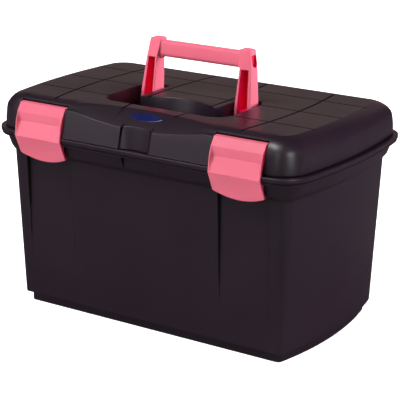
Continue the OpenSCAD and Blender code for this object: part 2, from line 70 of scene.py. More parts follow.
def ramp(x, x0, x1):
    """Smooth step from 0 at x0 to 1 at x1."""
    t = min(max((x - x0) / (x1 - x0), 0.0), 1.0)
    return t * t * (3 - 2 * t)


def arc(x, y, r, start, turn, n):
    """Points in n steps on an arc, from a start angle through a turn."""
    angles = [start + turn * i / n for i in range(n + 1)]
    return [(x + r * math.cos(a), y + r * math.sin(a)) for a in angles]


def table_at(x, table):
    """Value at x of a table of (x, value) rows with rising x."""
    if x <= table[0][0]:
        return table[0][1]
    for (x0, v0), (x1, v1) in zip(table, table[1:]):
        if x <= x1:
            return lerp(v0, v1, (x - x0) / (x1 - x0))
    return table[-1][1]


def shade(obj, angle=30):
    """Smooth faces, with an edge wherever two meet at more than the angle."""
    for poly in obj.data.polygons:
        poly.use_smooth = True
    obj.data.set_sharp_from_angle(angle=math.radians(angle))


def solid(name, verts, faces, angle=30):
    """A closed mesh object from points in millimetres."""
    mesh = bpy.data.meshes.new(name)
    mesh.from_pydata([Vector(v) * MM for v in verts], [], faces)
    bm = bmesh.new()
    bm.from_mesh(mesh)
    bmesh.ops.remove_doubles(bm, verts=bm.verts, dist=WELD)
    bmesh.ops.recalc_face_normals(bm, faces=bm.faces)
    bm.to_mesh(mesh)
    bm.free()
    obj = bpy.data.objects.new(name, mesh)
    bpy.context.scene.collection.objects.link(obj)
    shade(obj, angle)
    return obj


def bridge(a, b, n):
    """Quads between two closed rings of n points, which start at a and at b."""
    return [(a + i, a + (i + 1) % n, b + (i + 1) % n, b + i) for i in range(n)]


def loft_data(rings, cap_first=True, cap_last=True):
    """Points and faces of a skin over rings of equal count, with flat ends where asked for."""
    n = len(rings[0])
    verts = [p for ring in rings for p in ring]
    faces = []
    for k in range(len(rings) - 1):
        faces += bridge(k * n, (k + 1) * n, n)
    if cap_first:
        faces.append(tuple(range(n)))
    if cap_last:
        faces.append(tuple(range((len(rings) - 1) * n, len(rings) * n)))
    return verts, faces


def join_data(*parts):
    """Points and faces of several parts as one."""
    verts, faces = [], []
    for v, f in parts:
        base = len(verts)
        verts += v
        faces += [tuple(i + base for i in face) for face in f]
    return verts, faces


def cut(obj, cutter):
    """Cuts the cutter out of the object and deletes the cutter."""
    mod = obj.modifiers.new("cut", "BOOLEAN")
    mod.operation = "DIFFERENCE"
    mod.solver = "EXACT"
    mod.object = cutter
    graph = bpy.context.evaluated_depsgraph_get()
    mesh = bpy.data.meshes.new_from_object(obj.evaluated_get(graph))
    obj.modifiers.clear()
    obj.data = mesh
    bpy.data.objects.remove(cutter, do_unlink=True)


# Plan outlines

# Steps on a corner and on a bowed end
CORNER_N, BOW_N = 12, 20


def mirrored(values):
    return sorted({-v for v in values} | set(values))


# Places along the front and the back at which every plan outline has a point
FRONT_X = mirrored([
    0, 4, 7.5, 10.5, 13, 15, 16.6, 17.8, 18.6, 19.1, 19.38, 19.5, 19.9, 20.4, 21.4,
    25, 30, 35, 40, 45, 50, 55, 60, 65, 70, 75, 80, 85, 88.5,
    90.6, 91.6, 92.3, 92.5, 92.9, 93.3, 93.9, 94.3, 96, 100, 108, 116, 123.5, 131, 139, 147, 151,
    152.7, 153.1, 153.7, 154.1, 154.5, 154.7, 155.2,
])
BACK_X = [140, 105, 70, 35, 0, -35, -70, -105, -140]


def outline(l, d, bow, r, shift=0.0):
    """Plan outline, anticlockwise from the front's left, with straight front and back and bowed ends."""
    mid = l / 2 - bow
    yc = d / 2 - r
    xc = mid + math.sqrt((bow - r) ** 2 - yc * yc)
    turn = math.atan2(yc, xc - mid)
    half = arc(xc, -yc, r, -QUARTER, QUARTER - turn, CORNER_N)
    for i in range(1, BOW_N):
        a = turn * (2 * i / BOW_N - 1)
        half.append((mid + bow * math.cos(a), bow * math.sin(a)))
    half += arc(xc, yc, r, turn, QUARTER - turn, CORNER_N)
    points = [(x, -d / 2) for x in FRONT_X] + half
    points += [(x, d / 2) for x in BACK_X] + [(-x, -y) for x, y in half]
    return [(x, y + shift) for x, y in points]


def rim(inset):
    return outline(RIM_L - 2 * inset, RIM_D - 2 * inset, RIM_BOW - inset, RIM_R - inset)


def wall_top(inset):
    return outline(TOP_L - 2 * inset, TOP_D - 2 * inset, TOP_BOW - inset, TOP_R - inset)


def wall_low(inset):
    return outline(LOW_L - 2 * inset, LOW_D - 2 * inset, LOW_BOW - inset, LOW_R)


def blend(a, b, t):
    return [(lerp(p[0], q[0], t), lerp(p[1], q[1], t)) for p, q in zip(a, b)]


def lift(points, z):
    return [(x, y, z) for x, y in points]


# Bin

# Levels of the wall's foot, its top and the floor's edge, then steps of the wall inside
WALL_LOW_Z, WALL_TOP_Z, FLOOR_EDGE_Z, INSIDE_N = 11.0, 178.0, 13.6, 12
# Hollow under each latch: depth, lowest and highest level, level where the wall's edge closes it,
# then the runs of its side walls outside, and of its inner side wall inside the bin
HOLLOW_DEEP, HOLLOW_LOW, HOLLOW_TOP, HOLLOW_SHUT = 4.5, 50.0, 183, WALL_TOP_Z - 0.3
HOLLOW_IN, HOLLOW_OUT, HOLLOW_BACK = (92.9, 94.3), (152.7, 154.1), (90.6, 92.3)
# Scoop in the collar: half width, depth and run of its side walls; levels where it starts, is full and ends
SCOOP_HALF, SCOOP_DEEP, SCOOP_SIDE = 19.9, 3.4, 1.5
SCOOP_LOW, SCOOP_FULL, SCOOP_TOP = 181, 195, 196.1
# Cut that takes the bead back behind the latches, and its lowest level
BEAD_CUT, BEAD_CUT_Z = 2.2, 196
# Side walls that get painted shade, a darker and duller black: slack of their run, then the least slant of a
# hollow's inner and outer wall and of the scoop's walls, and the depth that they lie in front of
PAINTED_SHADE_SLACK, STEEP_IN, STEEP_OUT, STEEP_SCOOP, PAINTED_SHADE_Y = 0.1, 0.4, 0.75, 0.4, -90

# Rings of the bin as (height, inset) rows, upwards outside and then downwards inside
FOOT = [(0, 6.8), (0.25, 6.1), (1.0, 5.8), (10.2, 5.8), (10.8, 5.5), (11.0, 4.9), (11.0, 0.8), (11.25, 0.25),
        (11.9, 0)]
PLAIN_Z = [14, 20, 28, 36, 44, 49.9]
HOLLOW_FIRST, HOLLOW_LAST, HOLLOW_N = 50.1, 177.3, 40
WALL_EDGE = [(177.75, -0.1), (177.95, -0.4), (178.3, -0.75)]
FLARE_INSET, FLARE_Z = -0.8, (180, 181.8)
COLLAR = [
    (184, 10.7), (187, 9.65), (190, 8.6), (193, 7.55), (195.4, 6.7), (196.0, 6.3), (196.3, 5.6), (196.55, 4.4),
    (196.8, 3.0), (197.1, 1.9), (197.5, 1.25), (198, 1.0), (198.6, 1.0), (198.9, 1.3), (199.1, 1.9),
    (199.35, 2.15), (199.55, 1.8), (199.75, 1.0), (200, 0.5), (200.4, 0.15), (201, 0), (204, 0), (204.5, 0.1),
    (204.8, 0.3), (204.95, 0.6), (205, 1.0),
]
RIM_INSIDE = [(205, 8.3), (204.8, 8.8), (204.2, 9.0), (184.4, 13.2), (184, 13.6)]
LEDGE = [(184, 2.0), (183.7, 2.5), (183, WALL)]
FLOOR = [(13.6, 8.0), (13.2, 8.4), (4.0, 8.4), (3.0, 9.4)]


def hollow(x, z, outer):
    """Depth of the tapering hollow under each latch."""
    if not HOLLOW_LOW < z < HOLLOW_TOP:
        return 0.0
    depth = HOLLOW_DEEP * (min(z, WALL_TOP_Z) - HOLLOW_LOW) / (WALL_TOP_Z + 1 - HOLLOW_LOW)
    x = abs(x)
    if outer:
        return depth * ramp(x, *HOLLOW_IN) * (1 - ramp(x, *HOLLOW_OUT))
    return depth * ramp(x, *HOLLOW_BACK)


def scoop(x, z):
    """Depth of the round scoop in the collar below the lid's notch."""
    x = abs(x)
    if x >= SCOOP_HALF or not SCOOP_LOW < z < SCOOP_TOP:
        return 0.0
    side = 1 - ramp(x, SCOOP_HALF - SCOOP_SIDE, SCOOP_HALF)
    return SCOOP_DEEP * ramp(z, SCOOP_LOW, SCOOP_FULL) * side


def bin_ring(points, z, outer=True):
    """A level ring of the bin, with the hollows, the scoop and the cut bead in its front."""
    out = []
    for i, (x, y) in enumerate(points):
        if i < len(FRONT_X):
            if z <= HOLLOW_SHUT or not outer:
                y += hollow(x, z, outer)
            if outer:
                y += scoop(x, z)
                if z > BEAD_CUT_Z and POCKET_IN < abs(x) < POCKET_OUT:
                    y = max(y, FRONT + BEAD_CUT)
        out.append((x, y, z))
    return out


def build_bin():
    rings = [lift(wall_low(inset), z) for z, inset in FOOT]
    low, top = wall_low(0), wall_top(0)
    steps = [HOLLOW_FIRST + i * (HOLLOW_LAST - HOLLOW_FIRST) / HOLLOW_N for i in range(HOLLOW_N + 1)]
    for z in PLAIN_Z + steps:
        t = (z - WALL_LOW_Z) / (WALL_TOP_Z - WALL_LOW_Z)
        rings.append(bin_ring(blend(low, top, t), z))
    rings += [bin_ring(wall_top(inset), z) for z, inset in WALL_EDGE]
    collar_z, collar_inset = COLLAR[0]
    for z in FLARE_Z:
        t = (z - WALL_TOP_Z) / (collar_z - WALL_TOP_Z)
        rings.append(bin_ring(blend(wall_top(FLARE_INSET), rim(collar_inset), t), z))
    rings += [bin_ring(rim(inset), z) for z, inset in COLLAR]
    rings += [lift(rim(inset), z) for z, inset in RIM_INSIDE]
    rings += [lift(wall_top(inset), z) for z, inset in LEDGE]
    in_low, in_top = wall_low(WALL), wall_top(WALL)
    for i in range(INSIDE_N + 1):
        z = lerp(WALL_TOP_Z, FLOOR_EDGE_Z, i / INSIDE_N)
        t = (z - FLOOR_EDGE_Z) / (WALL_TOP_Z - FLOOR_EDGE_Z)
        rings.append(bin_ring(blend(in_low, in_top, t), z, False))
    rings += [lift(wall_low(inset), z) for z, inset in FLOOR]
    return solid("bin_shell", *loft_data(rings))


def in_run(x, run):
    return run[0] - PAINTED_SHADE_SLACK < x < run[1] + PAINTED_SHADE_SLACK


def in_bin_painted_shade(c, n):
    """True for a face on a side wall of a hollow or of the scoop, where shade is painted, from its middle and
    normal.
    """
    x, steep = abs(c.x), abs(n.x)
    hollow_wall = HOLLOW_LOW < c.z < WALL_TOP_Z and (
        in_run(x, HOLLOW_IN) and steep > STEEP_IN or in_run(x, HOLLOW_OUT) and steep > STEEP_OUT)
    scoop_wall = (SCOOP_LOW + 2 < c.z < SCOOP_TOP + PAINTED_SHADE_SLACK and steep > STEEP_SCOOP
                  and SCOOP_HALF - SCOOP_SIDE - PAINTED_SHADE_SLACK < x < SCOOP_HALF)
    return c.y < PAINTED_SHADE_Y and (hollow_wall or scoop_wall)


# Lid

# The lid's dome: height, then insets from the rim at front, ends and back, then corner radius
DOME = [
    (205.3, 7.3, 7.3, 7.3, 28.2), (205.5, 6.4, 6.4, 6.4, 28.7), (206.0, 5.8, 5.8, 5.8, 29.2),
    (206.6, 5.6, 5.6, 5.6, 29.3), (207.5, 5.6, 5.6, 5.6, 29.3), (209, 5.62, 5.62, 5.62, 29.3),
    (210.6, 5.66, 5.66, 5.66, 29.3), (212.2, 5.7, 5.7, 5.7, 29.2), (213.7, 5.75, 5.75, 5.75, 29.2),
    (215.3, 5.85, 5.85, 5.85, 29.1), (218, 6.1, 6.1, 6.2, 28.9), (221.5, 6.5, 6.5, 6.8, 28.4),
    (225, 7.0, 7.0, 7.6, 27.8), (228, 7.6, 7.6, 8.6, 27), (230.5, 8.6, 8.6, 10.2, 26.5),
    (232.8, 9.9, 10, 12.2, 26), (234.8, 11.3, 11.5, 14.6, 25.2), (236.6, 13, 13.2, 17.4, 24.4),
    (238.1, 14.9, 15.1, 20.3, 23), (239.5, 17.3, 17.3, 24, 21.4), (240.6, 20.2, 19.9, 28.2, 19.4),
    (241.5, 23.3, 22.5, 32.6, 17.4), (241.87, 24.7, 23.7, 34.8, 16.4), (241.98, 25.3, 24.2, 35.6, 16),
    (242, 26, 24.8, 36.4, 15.5), (242, 36.5, 28, 39.5, 12),
]
# Rows of the dome below the bend of the latch pockets
LOW_ROWS = 8
# Inside of the lid, from its ceiling down: the same columns, then depth and height of its straight front
INSIDE = [
    (239.4, 38.5, 30, 41.5, 9, -85.0, 239.4), (237.9, 20.1, 21.1, 29.1, 17, -100.0, 231.0),
    (233.4, 14.6, 15.1, 19.1, 22.4, -100.0, 217.2), (225.4, 10.1, 10.1, 11.1, 24.4, -115.1, 216.0),
    (210.5, 8.4, 8.4, 8.4, 26.4, -115.1, 210.5),
]
# Lip that sits in the bin, as (height, inset) rows
LIP_IN = 10.34
LIP = [(210.5, LIP_IN + WALL), (201.6, LIP_IN + WALL), (201, LIP_IN + 2), (201, LIP_IN + 0.5), (201.6, LIP_IN),
       (205.1, LIP_IN), (BASE_Z, LIP_IN - 0.2)]
# Trough between the front panels: half width, depth at its foot, share of that at its top, height, roundness
NOTCH_HALF, NOTCH_DEEP, NOTCH_SHARE, NOTCH_H, NOTCH_ROUND = 19.5, 6.0, 0.6, 24, 0.7
# The lid's inside stays behind the trough, and a margin beside it
NOTCH_MARGIN, TROUGH_BACK = 2, -111.3
# Trough's side walls, where shade is painted: run, depth they lie in front of, levels, least slant
NOTCH_RUN, NOTCH_Y, NOTCH_Z, NOTCH_STEEP = (17.7, NOTCH_HALF + 0.1), -100, (206, 233), 0.5
# Panels' faces: lowest and highest level, inset at the foot, lean, then the slope of the panels' tops
FACE_LOW_Z, FACE_TOP_Z, FACE_INSET, FACE_LEAN, PANEL_SLOPE = 206.3, 235.0, 1, 7.3, 0.25
FACE_RISE = (FACE_TOP_Z - FACE_LOW_Z) / FACE_LEAN
# Foot of the front: level it is measured at, inset it starts at and run of its edge,
# then its rounding as (depth, height) rows and the levels of the rows above it
FOOT_Z, FOOT_IN, FOOT_EDGE = 205.9, 9.5, 1.7
FOOT_ROUND, FACE_Z, FACE_MID_Z = ((0.8, 205.55), (0.0, 206.1)), (206.8, 207.8), 209.0
# Upper edge of the faces: levels it lies between, halvings to find it, softness on a panel and in the trough
EDGE_LOW, EDGE_HIGH, EDGE_TRIES, EDGE_PANEL, EDGE_TROUGH = 216.0, 240.0, 40, 0.45, 0.25
# Back edge of the bevel: its range and rounding; then the end and last step of the front's profile
BROW_FRONT, BROW_BACK, BROW_ROUND, FRONT_END, FRONT_STEP = -108.0, -89.0, 1.3, -87.0, 0.4
# Latch pocket: bend from the front and above the rim, then radius and turn in degrees round the barrel
POCKET_BEND, POCKET_R, POCKET_FROM, POCKET_TO, POCKET_N = (6.6, 12.9), 7.46, 243, 426.3, 9
# Lip behind the pocket: place from the barrel, edge as (run, drop) rows, run to the dome, end on the lid's top
POCKET_LIP, POCKET_EDGE, POCKET_RUN, POCKET_END = 3, ((0, 0.8), (0.3, 0.1)), 2, -97.0
# Handle well, and its walls seen from inside the lid:
# half length, front, back, corner radius, then half length and front of the island that it goes round
WELL = (79.0, -75.0, 17.0, 22.0, 49.0, -41.0)
WELL_INSIDE, WELL_INSIDE_Z = (81.6, -77.6, 19.6, 24.6, 46.4, -22.4), (239.4, 230, 220, 211.4)
# Well as (height, widening) rows
WELL_ROWS = [(242, 0.6), (241.94, 0.35), (241.76, 0.14), (241.4, 0.03), (239.5, 0), (228, 0), (216, 0),
             (214.7, -0.35), (214.15, -1.0), (214, -1.8)]
# Floor and depth of the well, then depth of the finger scoop at the floor and of a flat one
WELL_FLOOR_Z, WELL_H, FINGER_DEEP, FLAT_FINGER = 214, 28, 8, 0.01
# Steps on a corner and on the scoop, then the run and the middle of the island's cut corners
WELL_CORNER_N, FINGER_N, ISLAND_EDGE, ISLAND_MID = 8, 24, 1.5, 0.5
# Grooves: section, then place, reach and half width of the straight and of the bowed ones
GROOVE_TOP, GROOVE_LOW, GROOVE_FLARE = 0.6, -1.6, 0.15
STRAIGHT_Y, STRAIGHT_REACH, STRAIGHT_HALF = (-57, -1.6, 52.7), 176, 1.15
BOWED_X, BOWED_FROM, BOWED_TO, BOWED_N, BOWED_R, BOWED_HALF = (40.6, 126), -102, 88, 30, 566, 1.4


def dome_ring(z, f, e, b, r):
    return lift(outline(RIM_L - 2 * e, RIM_D - f - b, RIM_BOW - e, r, (f - b) / 2), z)


DOME_BY_INSET = [(row[1], row[0]) for row in DOME[LOW_ROWS:]]


def dome_z(y):
    return table_at(y - FRONT, DOME_BY_INSET)


def dip_rise(x):
    return (DIP_R - math.sqrt(DIP_R ** 2 - x * x)) / math.cos(DIP_SLOPE)


def dip_z(x, y):
    return DIP_Z + dip_rise(x) + math.tan(DIP_SLOPE) * (y - DIP_Y)


def soft_min(a, b, k):
    h = max(k - abs(a - b), 0.0) / k
    return min(a, b) - h * h * k / 4


def top_surface(x, y, panel):
    """Height of the lid above its front face: the dome or a panel's top, cut by the dipped bevel."""
    z = dome_z(y)
    if panel:
        z = max(z, FACE_TOP_Z + PANEL_SLOPE * (y - FRONT - (FACE_INSET + FACE_LEAN)))
    return soft_min(z, dip_z(x, y), DIP_SOFT)


def face_y(x, z):
    """Front face of a panel, or of the round trough between the panels."""
    up = z - FACE_LOW_Z
    deep = lerp(NOTCH_DEEP, NOTCH_SHARE * NOTCH_DEEP, up / NOTCH_H)
    trough = deep * max(1 - (x / NOTCH_HALF) ** 2, 0.0) ** NOTCH_ROUND
    return FRONT + FACE_INSET + up / FACE_RISE + trough


def face_edge(x, panel):
    """Level at which the front face meets the surface above it."""
    low, high = EDGE_LOW, EDGE_HIGH
    for _ in range(EDGE_TRIES):
        mid = (low + high) / 2
        if mid < top_surface(x, face_y(x, mid), panel):
            low = mid
        else:
            high = mid
    return (low + high) / 2


def front_profile(x):
    """Side outline of the lid's front between the latches, as (y, z) rows that match DOME's."""
    panel = abs(x) >= NOTCH_HALF
    foot = face_y(x, FOOT_Z)
    rows = [(lerp(FRONT + FOOT_IN, foot + FOOT_EDGE, i / 4), BASE_Z) for i in range(5)]
    rows += [(foot + deep, z) for deep, z in FOOT_ROUND] + [(face_y(x, z), z) for z in FACE_Z]
    edge_z = face_edge(x, panel)
    edge_y = face_y(x, edge_z)
    soft = EDGE_PANEL if panel else EDGE_TROUGH
    p0 = (face_y(x, edge_z - soft), edge_z - soft)
    p1 = (edge_y + soft, top_surface(x, edge_y + soft, panel))
    rows += [(face_y(x, z), z) for z in (lerp(FACE_MID_Z, p0[1], i / 3) for i in range(4))]
    for t in (0.25, 0.5, 0.75):
        s = 1 - t
        rows.append((s * s * p0[0] + 2 * s * t * edge_y + t * t * p1[0],
                     s * s * p0[1] + 2 * s * t * edge_z + t * t * p1[1]))
    brow = DIP_Y + (LID_Z - DIP_Z - dip_rise(x)) / math.tan(DIP_SLOPE)
    brow = min(max(brow, BROW_FRONT), BROW_BACK)
    ys = [lerp(p1[0], brow - BROW_ROUND, i / 4) for i in range(5)]
    ys += [brow, brow + BROW_ROUND, lerp(brow + BROW_ROUND, FRONT_END, 0.5)]
    rows += [(y, top_surface(x, y, panel)) for y in ys]
    return rows + [(FRONT_END - FRONT_STEP, LID_Z), (FRONT_END, LID_Z)]


def pocket_profile():
    """Side outline of the pocket behind a latch, as (y, z) rows that match DOME's."""
    start, turn = math.radians(POCKET_FROM), math.radians(POCKET_TO - POCKET_FROM)
    bend = (FRONT + POCKET_BEND[0], PART_Z + POCKET_BEND[1])
    ring = arc(LATCH_Y, LATCH_Z, POCKET_R, start, turn, POCKET_N)
    rows = [(FRONT + row[1], row[0]) for row in DOME[:LOW_ROWS]] + [bend]
    rows += [(lerp(bend[0], ring[0][0], i / 3), lerp(bend[1], ring[0][1], i / 3)) for i in range(1, 4)]
    rows += ring[1:]
    lip_y = LATCH_Y + POCKET_LIP
    rows += [(lip_y + run, dome_z(lip_y) - drop) for run, drop in POCKET_EDGE]
    rows.append((lip_y + POCKET_RUN, dome_z(lip_y + POCKET_RUN)))
    return rows + [(POCKET_END, LID_Z), (FRONT_END, LID_Z)]


def well_loop(z, grow, finger, plan=WELL):
    """Outline of the U-shaped handle well round its island, whose front has the finger scoop."""
    half, front, back, r, island, island_front = plan
    hi, yb, yi, rr = island - grow, back + grow, island_front + grow, r + grow
    cx, cf, cb = half - r, front + r, back - r
    points = [(hi, yb)]
    for x0, y0, quarters in ((cx, cb, 1), (cx, cf, 0), (-cx, cf, -1), (-cx, cb, -2)):
        points += arc(x0, y0, rr, quarters * QUARTER, -QUARTER, WELL_CORNER_N)
    edge = hi - ISLAND_EDGE
    points += [(-hi, yb), (-hi, yi + ISLAND_EDGE), (-hi + ISLAND_MID, yi + ISLAND_MID)]
    for i in range(FINGER_N + 1):
        x = lerp(-edge, edge, i / FINGER_N)
        points.append((x, yi + finger * (1 - (x / edge) ** 2)))
    points += [(hi - ISLAND_MID, yi + ISLAND_MID), (hi, yi + ISLAND_EDGE)]
    return lift(points, z)


def filled(loops):
    """Triangles over flat loops, the first outside and the others holes, indexed over all their points."""
    return [tuple(t) for t in tessellate_polygon([[Vector(p) for p in loop] for loop in loops])]


def pit(loops):
    """Points and faces of a skin over loops, with a filled floor at the last one."""
    verts, faces = loft_data(loops, False, False)
    base = (len(loops) - 1) * len(loops[0])
    return verts, faces + [tuple(i + base for i in t) for t in filled([loops[-1]])]


def groove_bar(path, half):
    """A cutter along a path of (x, y) on the lid's top, a flared slot in section."""
    low_half = half - GROOVE_FLARE
    section = ((-half, GROOVE_TOP), (-low_half, GROOVE_LOW), (low_half, GROOVE_LOW), (half, GROOVE_TOP))
    rings = []
    for i, (x, y) in enumerate(path):
        x0, y0 = path[max(i - 1, 0)]
        x1, y1 = path[min(i + 1, len(path) - 1)]
        size = math.hypot(x1 - x0, y1 - y0)
        nx, ny = (y1 - y0) / size, (x0 - x1) / size
        rings.append([(x + nx * s, y + ny * s, LID_Z + h) for s, h in section])
    return loft_data(rings)


def lid_rings():
    """Rings of the lid's skin, from its ceiling inside round the lip and up to its top outside."""
    pocket = pocket_profile()
    fronts = []
    for x in FRONT_X:
        a = abs(x)
        if a >= POCKET_OUT:
            fronts.append(None)
        elif a >= POCKET_IN:
            fronts.append(pocket)
        else:
            fronts.append(front_profile(x))
    rings = []
    for row in INSIDE:
        ring = dome_ring(*row[:5])
        for i, x in enumerate(FRONT_X):
            y = max(row[5], TROUGH_BACK) if abs(x) < NOTCH_HALF + NOTCH_MARGIN else row[5]
            ring[i] = (x, y, row[6])
        rings.append(ring)
    rings += [lift(rim(inset), z) for z, inset in LIP]
    for j, row in enumerate(DOME):
        ring = dome_ring(*row)
        for i, profile in enumerate(fronts):
            if profile:
                ring[i] = (FRONT_X[i],) + profile[j]
        rings.append(ring)
    return rings


def cut_grooves(obj):
    straight = [groove_bar([(-STRAIGHT_REACH, y), (STRAIGHT_REACH, y)], STRAIGHT_HALF) for y in STRAIGHT_Y]
    cut(obj, solid("cutter", *join_data(*straight)))
    bowed = []
    ys = [lerp(BOWED_FROM, BOWED_TO, i / BOWED_N) for i in range(BOWED_N + 1)]
    for side in (-1, 1):
        for x in BOWED_X:
            path = [(side * (x - BOWED_R + math.sqrt(BOWED_R ** 2 - y * y)), y) for y in ys]
            bowed.append(groove_bar(path, BOWED_HALF))
    cut(obj, solid("cutter", *join_data(*bowed)))


def build_lid():
    rings = lid_rings()
    well = [well_loop(z, g, FINGER_DEEP + FINGER_DEEP * (z - WELL_FLOOR_Z) / WELL_H) for z, g in WELL_ROWS]
    under = [well_loop(z, 0, FLAT_FINGER, WELL_INSIDE) for z in WELL_INSIDE_Z]
    top = (rings[-1] + well[0], filled([rings[-1], well[0]]))
    ceiling = (rings[0] + under[0], filled([rings[0], under[0]]))
    skin = loft_data(rings, False, False)
    obj = solid("lid_shell", *join_data(skin, pit(well), pit(under), top, ceiling))
    cut_grooves(obj)
    bm = bmesh.new()
    bm.from_mesh(obj.data)
    bmesh.ops.dissolve_degenerate(bm, edges=bm.edges, dist=WELD)
    bmesh.ops.dissolve_limit(bm, angle_limit=FLAT, verts=bm.verts, edges=bm.edges)
    bm.to_mesh(obj.data)
    bm.free()
    shade(obj)
    return obj


def in_notch_painted_shade(c, n):
    """True for a face on a side wall of the trough between the panels, where shade is painted, from its middle
    and normal.
    """
    near = NOTCH_RUN[0] < abs(c.x) < NOTCH_RUN[1] and NOTCH_Z[0] < c.z < NOTCH_Z[1]
    return near and c.y < NOTCH_Y and abs(n.x) > NOTCH_STEEP


# Hinge

HINGE_X, HINGE_Y, KNUCKLE_R, PIN_R, KNUCKLE_N = 105.0, 129.0, 5.0, 1.55, 40
# Arms of the bin's ears and of the lid's knuckles, as (y, z) corners
EAR = [(117.2, 190), (HINGE_Y, PART_Z - KNUCKLE_R), (HINGE_Y, 204.5), (117.2, 204.5), (117.2, 190)]
ARM = [(116.7, 205.8), (HINGE_Y, 205.8), (HINGE_Y, PART_Z + KNUCKLE_R), (116.7, 214.5), (116.7, 205.8)]
# Reach along the pin of an ear's two ends and of the lid's knuckle, then rounding as (run, inset) rows
EAR_IN, EAR_OUT, ARM_HALF = 11.5, 23.5, 11
KNUCKLE_ROUND = ((0, 0.7), (0.2, 0.2), (0.7, 0))


def knuckle(x0, x1, corners):
    """A hinge knuckle on the pin's axis, with arms to the given (y, z) corners and a bore."""
    shape = []
    for i in range(KNUCKLE_N):
        a = 2 * math.pi * i / KNUCKLE_N
        dy, dz = math.cos(a), math.sin(a)
        reach = KNUCKLE_R
        for (y0, z0), (y1, z1) in zip(corners, corners[1:]):
            det = dy * (z1 - z0) - dz * (y1 - y0)
            if abs(det) < 1e-9:
                continue
            t = ((y0 - HINGE_Y) * (z1 - z0) - (z0 - PART_Z) * (y1 - y0)) / det
            u = ((y0 - HINGE_Y) * dz - (z0 - PART_Z) * dy) / det
            if t > 0 and 0 <= u <= 1:
                reach = max(reach, t)
        shape.append((dy, dz, reach))

    def ring(x, inset):
        return [(x, HINGE_Y + dy * (r - inset), PART_Z + dz * (r - inset)) for dy, dz, r in shape]

    def bore(x):
        return [(x, HINGE_Y + dy * PIN_R, PART_Z + dz * PIN_R) for dy, dz, _ in shape]

    rings = [bore(x0)] + [ring(x0 + run, inset) for run, inset in KNUCKLE_ROUND]
    rings += [ring(x1 - run, inset) for run, inset in reversed(KNUCKLE_ROUND)] + [bore(x1)]
    verts, faces = loft_data(rings, False, False)
    return verts, faces + bridge((len(rings) - 1) * KNUCKLE_N, 0, KNUCKLE_N)


def build_hinge():
    """The ears on the bin as one piece, and the knuckles on the lid as another."""
    ears, arms = [], []
    for side in (-1, 1):
        x = side * HINGE_X
        ears += [knuckle(x - EAR_OUT, x - EAR_IN, EAR), knuckle(x + EAR_IN, x + EAR_OUT, EAR)]
        arms.append(knuckle(x - ARM_HALF, x + ARM_HALF, ARM))
    return solid("bin_hinge_ears", *join_data(*ears)), solid("lid_hinge_knuckles", *join_data(*arms))


# Latches

# Places across a latch that have points
LATCH_XS = mirrored([
    0, 4, 8, 12, 16, 20, 24, 26.5, 28.2, 28.5, 28.8, 29.1, 29.4, 29.6, 29.9, 30.2, 30.4, LATCH_HALF])
# Outer face's corners from the barrel to the tab, as (y, z) rows, then the shares with points on each facet
LATCH_SIDE = [(-110.5, 236.5), (-114.5, 235.9), (-120.4, 226.8), (-123.5, 217.9), (-126.0, 200.8)]
FACET_T = (0.02, 0.06, 0.35, 0.65, 0.94, 0.98)
LATCH_T = ((0.2, 0.5, 0.8), FACET_T, FACET_T, FACET_T, [0.015, 0.04] + [0.08 * i for i in range(1, 13)])
# Sunk field: depth at its crease and at its foot, run of its side walls; then the round of the side edges
FIELD_SINK, FIELD_FOOT, FIELD_EDGE, SIDE_R = 4.4, 0.1, (28.2, 29.4), 0.9
# Tab: level at its sides, droop in the middle, lean as a run over a fall; then its dish
TAB_Z, TAB_DROOP, TAB_RUN, TAB_FALL = 180.1, 7, 9.4, 20.7
DISH_DEEP, DISH_HALF, DISH_STRETCH, DISH_ROUND = 1.9, 29.5, 1.06, 0.8
# Tab's lip as (run, rise, share of the side edges' round) rows
TAB_LIP = ((0.25, 0.1, 1), (1.0, -0.1, 1), (2.4, 0.2, 1), (2.9, 0.9, 0))
# Tab's back: depth at the knee, rise from the lip, top, and the shares with points on it
TAB_BACK_Y, TAB_BACK_RISE, TAB_BACK_TOP, TAB_BACK_T = -122.7, 3, 190.5, (0, 0.33, 0.66, 1)
# Hook under the bead: level and shift of its root, its level, tip as (y, z) rows, levels of the tab above it;
# then the field's back as (y, z, share of the same round) rows and the turn of the barrel
ROOT_Z, ROOT_SHIFT, HOOK_Z, HOOK_TIP = 190.9, 0.2, 191.0, [(-118.3, 195.4), (-118.5, 195.9)]
HOOK_ABOVE = (196.2, 198.5)
FIELD_BACK = ((-122.8, 201.4, 1), (-120.9, 209.5, 1), (-118.4, 217.9, 0), (-116.0, 222.0, 0))
BARREL_FROM, BARREL_TO, BARREL_N = 240, 448, 11
# Latch sides, where shade is painted: slack of their place and least slant
SIDE_SLACK, SIDE_STEEP = 0.3, 0.8


def latch_sink(k, t, x, field):
    """Depth of the sunk field, or of the tab's dish, at a share t of the outer face's facet k."""
    if k == 2:
        return field * lerp(0.0, FIELD_SINK, t)
    if k == 3:
        return field * lerp(FIELD_SINK, FIELD_FOOT, t)
    if k == 4 and abs(x) < DISH_HALF:
        along = math.sin(math.pi * min(t * DISH_STRETCH, 1)) ** DISH_ROUND
        return DISH_DEEP * (1 - (x / DISH_HALF) ** 2) * along
    return 0.0


